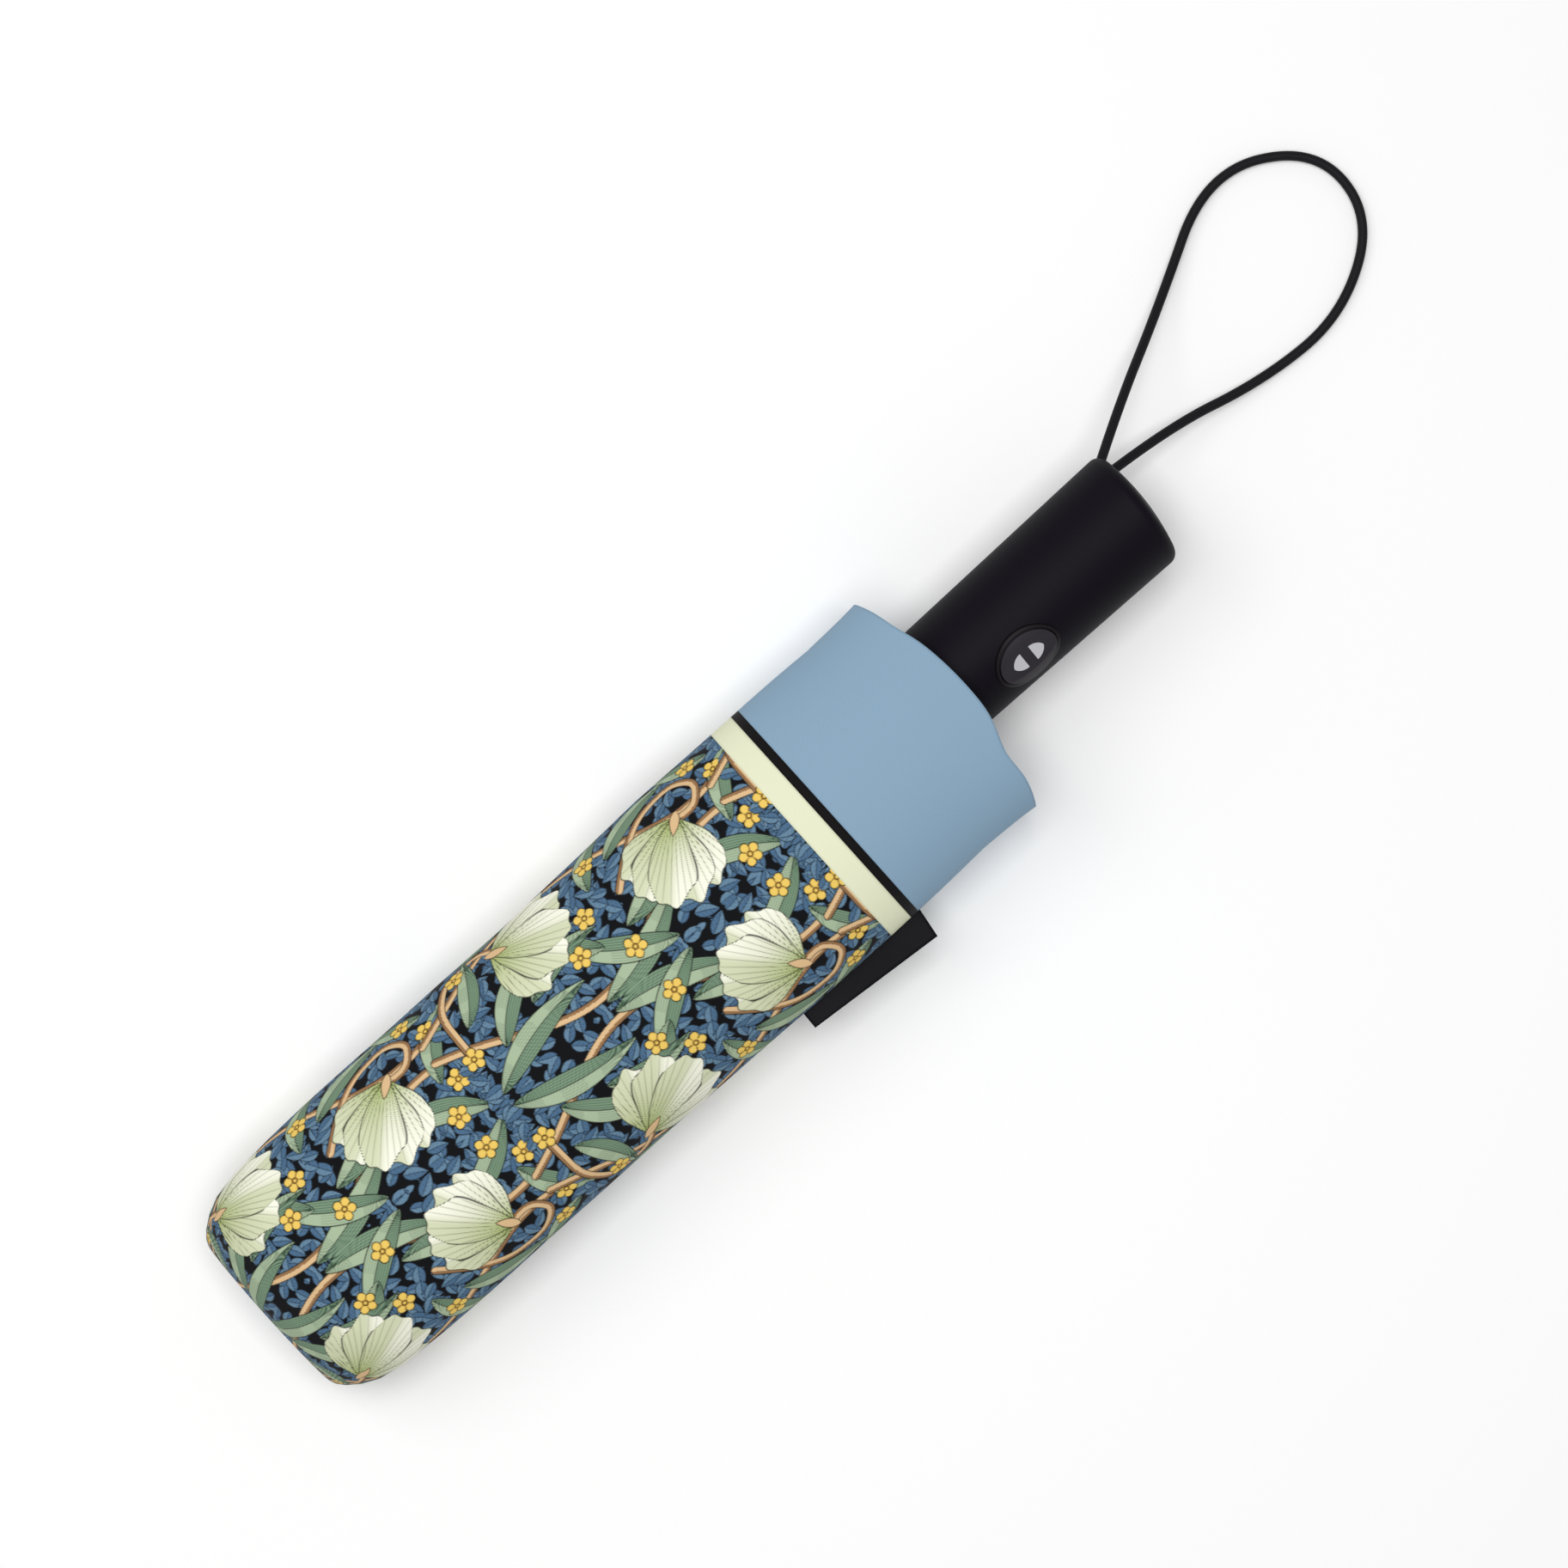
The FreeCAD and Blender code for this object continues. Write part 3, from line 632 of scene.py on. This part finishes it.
def printed_colour(along, across):
    """Colours at each row along and column across; the two sides of the middle line mirror."""
    half, back = np.unique(np.round(np.abs(across), 5), return_inverse=True)
    canvas = Canvas(along, half)
    for n in PAINTED:
        paint(canvas, FIRST + n * REPEAT)
    return canvas.colour[:, back]


def colour_mesh(mesh, colour):
    """Keeps a colour on each point of a mesh, for the printed cloth's shader."""
    layer = mesh.color_attributes.new("print", "FLOAT_COLOR", "POINT")
    full = np.ones((colour.size // 3, 4), np.float32)
    full[:, :3] = colour.reshape(-1, 3)
    layer.data.foreach_set("color", full.ravel())


print("painted along", FIRST + PAINTED[0] * REPEAT, "to", FIRST + (PAINTED[-1] + 1) * REPEAT, "mm")

# %% [markdown]
# ## The sleeve's pieces
# The printed body, the pale band, the black stripe and the blue collar are separate cloths sewn
# edge to edge. Each could be modelled alone, but as parts of the one surface they meet exactly.
# The printed piece is fine enough to carry the print, so it has no wall of its own and a coarse
# lining closes it inside.

# %% Flat places on the cloth
FINE = 0.27
BODY_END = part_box("sleeve_body")[1].x / MM
BAND_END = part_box("sleeve_band")[1].x / MM
STRIPE_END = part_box("sleeve_stripe")[1].x / MM
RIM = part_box("sleeve_collar")[1].x / MM
fullest = sleeve_points(np.full(720, -40.0), np.linspace(0, 2 * np.pi, 720, endpoint=False))
FULL_ROUND = around(fullest)
GIRTH = FULL_ROUND[-1]
TURNS = np.linspace(0, 2 * np.pi, 721)
TOP = np.interp(np.pi / 2, TURNS, FULL_ROUND)


def columns(fine):
    """Even steps round the cloth from the middle line on top: (flat places, turns)."""
    count = int(GIRTH / fine)
    across = (np.arange(count) / count - 0.5) * GIRTH
    return across, np.interp(np.mod(across + TOP, GIRTH), FULL_ROUND, TURNS)


def flat_along(x):
    """Places along the flat cloth in mm: the same as x, but measured round the closed end."""
    fine = np.linspace(CLOSED_END / MM, RIM, 2400)
    top = np.interp(fine, STATIONS[:, 0], STATIONS[:, 2] + STATIONS[:, 3])
    length = np.concatenate([[0], np.cumsum(np.hypot(np.diff(fine), np.diff(top)))])
    return np.interp(x, fine, length - length[-1] + RIM)


print("cloth", round(GIRTH, 1), "mm round, flat from", round(flat_along(CLOSED_END / MM), 1), "mm")

# %% One piece of the sleeve
# in mm: the other cloths' thickness, how deep the lining lies, and how far in it starts
SLEEVE_WALL, LINING_DEPTH, LINING_START = 0.5, 0.6, 14


def sleeve_part(name, x0, x1, node, material, fine, edge=None, painted=False, depth=0.0):
    """A piece of the sleeve between two places along it, or its lining at this depth in mm."""
    along = np.linspace(x0, x1, max(int((x1 - x0) / fine), 3) + 1)
    across, turns = columns(fine)
    x, turn = np.meshgrid(along, turns, indexing="ij")
    if edge is not None:
        share = (x - x0) / (x1 - x0)
        x = x0 + share * (edge(turn) - x0)
    points = sleeve_points(x, turn)
    if depth:
        middle = points.mean(1, keepdims=True)
        away = points - middle
        points = points - away / np.linalg.norm(away, axis=-1, keepdims=True) * depth
    mesh, quads = grid_mesh(name, points)
    flat = flat_along(along)
    set_uv(mesh, quads, *np.meshgrid(flat, across, indexing="ij"))
    if painted:
        colour_mesh(mesh, printed_colour(flat, across))
    obj = show(name, mesh, "sleeve", node, material)
    if node and not painted:
        thicken(obj, "cloth_thickness", SLEEVE_WALL, -1.0)
    return obj, points


# printed pongee: the print's own colours on the same matt weave
printed_cloth, printed_shader = surface("printed_pongee", "#808080", 0.8, **CLOTH)
colours = add(printed_cloth, "VertexColor", {"layer_name": "print"})
printed_cloth.node_tree.links.new(colours.outputs["Color"], printed_shader.inputs["Base Color"])
weave(printed_cloth, printed_shader, THREAD, THREAD_HEIGHT)
print("printed cloth ready")


# %% The sleeve's pieces
def rim_line(turn):
    """The mouth's edge: furthest at the middle, with a shallow dip on each side."""
    across = np.cos(turn)
    dip = 0.5 * np.exp(-((across - 0.66) / 0.15) ** 2) + 1.9 * np.exp(-((across + 0.52) / 0.2) ** 2)
    return RIM - 6.4 * across**2 - dip


body_obj, body_points = sleeve_part(
    "sleeve_print", CLOSED_END / MM, BODY_END, "sleeve_body", printed_cloth, FINE, painted=True
)
lining_obj, lining_points = sleeve_part(
    "sleeve_lining", CLOSED_END / MM + LINING_START, BODY_END, None, pale_cloth, 2.0,
    depth=LINING_DEPTH,
)
band_obj, _ = sleeve_part("sleeve_pale_band", BODY_END, BAND_END, "sleeve_band", pale_cloth, 0.8)
stripe_obj, _ = sleeve_part(
    "sleeve_black_stripe", BAND_END, STRIPE_END, "sleeve_stripe", black_cloth, 0.8
)
collar_obj, collar_points = sleeve_part(
    "sleeve_blue_collar", STRIPE_END, RIM, "sleeve_collar", blue_cloth, 0.8, edge=rim_line
)
print("girth", round(GIRTH, 1), "mm;", len(body_obj.data.vertices), "print points")

# %% [markdown]
# ## The closed end
# The bag's end is a flat sewn oval in the same print. A fan of triangles would close it, but
# couldn't carry the print, so a square grid is bent into an oval. It is made a little wider than
# the opening, so that its edge leaves no gap.

# %% The closed end
END_HALF, END_HIGH, END_MIDDLE = STATIONS[0, 1:]
TUCK, END_INSET = 1.01, 0.05
side = np.linspace(-1, 1, int(2 * END_HALF / FINE))
rise = np.linspace(-1, 1, int(2 * END_HIGH / FINE))
t, s = np.meshgrid(rise, side, indexing="ij")
cap_y = SLEEVE_Y / MM + TUCK * END_HALF * s * np.sqrt(1 - t * t / 2)
cap_z = END_MIDDLE + TUCK * END_HIGH * t * np.sqrt(1 - s * s / 2)
cap_grid = np.stack([np.full_like(cap_y, CLOSED_END / MM + END_INSET), cap_y, cap_z], -1)
cap_mesh, cap_quads = grid_mesh("sleeve_closed_end", cap_grid, closed=False)
flat_u, flat_v = flat_along(CLOSED_END / MM) + (rise - 1) * END_HIGH, side * END_HALF
set_uv(cap_mesh, cap_quads, *np.meshgrid(flat_u, flat_v, indexing="ij"))
colour_mesh(cap_mesh, printed_colour(flat_u, flat_v))
cap_obj = show("sleeve_closed_end", cap_mesh, "sleeve", None, printed_cloth)
print("closed end", round(2 * END_HALF, 1), "by", round(2 * END_HIGH, 1), "mm")

# %% [markdown]
# ## The side label
# A folded satin ribbon sewn into the side seam, left blank. It stands out a little askew. A box
# would look stiff, so it is a grid between its sewn edge and its free edge, with a slight wave,
# and is given its thickness afterwards.

# %% Side label
# the ends of each edge in mm: along, across from the sleeve's middle, and up
INNER_EDGE = np.array([(0.9, -31.5, 24.1), (40.2, -31.5, 24.1)])
OUTER_EDGE = np.array([(0.6, -38.2, 23.4), (38.7, -41.65, 22.6)])
LABEL_WALL = 0.8
share_u = np.linspace(0, 1, 40)[:, None, None]
share_v = np.linspace(0, 1, 12)[None, :, None]
inner_line = INNER_EDGE[0] * (1 - share_u) + INNER_EDGE[1] * share_u
outer_line = OUTER_EDGE[0] * (1 - share_u) + OUTER_EDGE[1] * share_u
label_grid = inner_line * (1 - share_v) + outer_line * share_v
label_grid[..., 1] += SLEEVE_Y / MM
label_grid[..., 2] += 0.25 * np.sin(share_u * 7 + 0.6)[..., 0] * share_v[..., 0]
label_mesh, label_quads = grid_mesh("side_label_ribbon", label_grid, closed=False)
set_uv(label_mesh, label_quads, label_grid[..., 0], label_grid[..., 1])
label_obj = show("side_label_ribbon", label_mesh, "sleeve", "side_label", label_cloth)
thicken(label_obj, "folded_ribbon", LABEL_WALL, 0.0)
print("label ready")

# %% [markdown]
# ## The folded canopy
# A closed canopy is one cover in eight gores, folded along the ribs. One mesh for all of it
# couldn't follow the ribs as they open, so each rib's three bars carry pleated strips. The
# hem's folds gather round the handle just inside the sleeve's mouth and belong to the outer
# ribs, whose tips hold them. The cloth isn't spread between the ribs when the frame opens.

# %% Canopy strips
RIBS = 8
CANOPY_WALL = 0.15
# in mm: from, to, half the width, how far from the shaft, and how deep the pleats are
INNER_STRIP = (-128, 30, 2.8, 11.08, 0.15)
MIDDLE_STRIP = (-116, 30, 4.0, 11.5, 0.2)
OUTER_STRIP = (-116, 69, 7.0, 19.3, 1.7)


def on_shaft(x, across, out, degrees):
    """A point in mm from the local frame of a rib: along, sideways and away from the shaft."""
    c, s = math.cos(math.radians(degrees)), math.sin(math.radians(degrees))
    y = SHAFT_Y / MM + across * c - out * s
    z = SHAFT_Z / MM + across * s + out * c
    return np.stack(np.broadcast_arrays(x, y, z), -1)


def strip(name, x0, x1, half, out, pleat, degrees, body, node=None):
    """A pleated strip of cloth on one rib bar: half its width, and how far out it lies, in mm."""
    along, across = np.meshgrid(np.linspace(x0, x1, 60), np.linspace(-half, half, 25), indexing="ij")
    fold = pleat * (0.5 + 0.5 * np.cos(across / half * 4 * np.pi))
    grid = on_shaft(along, across, out + fold, degrees)
    mesh, quads = grid_mesh(name, grid, closed=False)
    set_uv(mesh, quads, along, across)
    obj = show(name, mesh, body, node, canopy_cloth)
    thicken(obj, "cloth_thickness", CANOPY_WALL, 1.0)
    return obj, grid


print("outer strips", 2 * OUTER_STRIP[2], "mm wide as pleated")

# %% The hem
# in mm: the handle's radius with a little room, the folds' place and swell along, the lowest
# they hang, and the sleeve's mouth inside as half width, half height and middle height
HANDLE_ROOM, HEM_PLACE, HEM_SWELL, HEM_LOWEST = 16.9, 68.5, 2.6, 1.6
MOUTH_HALF, MOUTH_HIGH, MOUTH_MIDDLE = 32.4, 23.0, 24.2


def reach_to_sleeve(angle):
    """How far the sleeve's inner wall is from the shaft, in mm, at angles from +Y to +Z."""
    off_y, off_z = (SHAFT_Y - SLEEVE_Y) / MM, SHAFT_Z / MM - MOUTH_MIDDLE
    way_y, way_z = np.cos(angle), np.sin(angle)
    square = (way_y / MOUTH_HALF) ** 2 + (way_z / MOUTH_HIGH) ** 2
    linear_part = off_y * way_y / MOUTH_HALF**2 + off_z * way_z / MOUTH_HIGH**2
    rest = (off_y / MOUTH_HALF) ** 2 + (off_z / MOUTH_HIGH) ** 2 - 1
    return (-linear_part + np.sqrt(linear_part * linear_part - square * rest)) / square


def hem(name, degrees, body):
    """The hem's folds in one eighth of the mouth."""
    middle, half = math.radians(90 + degrees), np.pi / RIBS
    turns = np.linspace(middle - half, middle + half, 61)
    angle, share = np.meshgrid(turns, np.linspace(0, 1, 30), indexing="ij")
    out = HANDLE_ROOM + share * (reach_to_sleeve(angle) - HANDLE_ROOM)
    folds = np.cos(24 * angle) * (0.4 + 1.5 * share) + 0.5 * np.cos(56 * angle) * share
    x = HEM_PLACE + HEM_SWELL * np.sin(np.pi * share**0.7) + folds
    y = SHAFT_Y / MM + out * np.cos(angle)
    z = SHAFT_Z / MM + out * np.sin(angle)
    grid = np.stack([x, y, np.maximum(z, HEM_LOWEST)], -1)
    mesh, quads = grid_mesh(name, grid, closed=False)
    set_uv(mesh, quads, angle * 20, out)
    return show(name, mesh, body, None, canopy_cloth)


print("reach to the sleeve on top", round(float(reach_to_sleeve(np.pi / 2)), 1), "mm")

# %% Canopy on all ribs
# the first strip stands for the whole CAD canopy
for k in range(1, RIBS + 1):
    angle = 360.0 / RIBS * (k - 1)
    node = "canopy" if k == 1 else None
    inner, _ = strip(f"canopy_inner_strip_{k}", *INNER_STRIP, angle, f"inner_{k}", node)
    middle, _ = strip(f"canopy_middle_strip_{k}", *MIDDLE_STRIP, angle, f"middle_{k}")
    outer, grid = strip(f"canopy_outer_strip_{k}", *OUTER_STRIP, angle, f"outer_{k}")
    folds = hem(f"canopy_hem_{k}", angle, f"outer_{k}")
print("canopy folded in", 4 * RIBS, "pieces")

# %% [markdown]
# ## The handle, the button and the hidden frame
# The grip, the bezel, the button, the tubes, the springs and the ribs are hard parts whose CAD
# shapes are already right. Building them again could only lose accuracy, so they keep their
# shapes, and only their surfaces are finished here.

# %% Finishes on CAD pieces
FINISH = {
    "handle_grip": soft_touch,
    "handle_core": core_plastic,
    "loop_crimp": steel,
    "tube_pin": steel,
    "button_bezel": black_plastic,
    "button": button_plastic,
    "button_arrows": silver_ink,
    "button_spring": steel,
    "latch": steel,
    "lower_tube": chrome,
    "middle_tube": chrome,
    "upper_tube": chrome,
    "main_spring": steel,
    "crown_notch": core_plastic,
    "crown_cap": core_plastic,
    "runner": core_plastic,
}
for k in range(1, RIBS + 1):
    FINISH[f"inner_rib_{k}"] = FINISH[f"middle_rib_{k}"] = black_steel
    FINISH[f"stretcher_{k}"] = black_steel
    FINISH[f"outer_rib_{k}"] = aluminium
for name, material in FINISH.items():
    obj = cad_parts[name]
    obj.data.materials.clear()
    obj.data.materials.append(material)
print(len(FINISH), "CAD pieces finished")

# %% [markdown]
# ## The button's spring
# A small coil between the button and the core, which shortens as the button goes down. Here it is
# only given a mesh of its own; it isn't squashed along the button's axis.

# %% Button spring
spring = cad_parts["button_spring"]
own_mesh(spring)
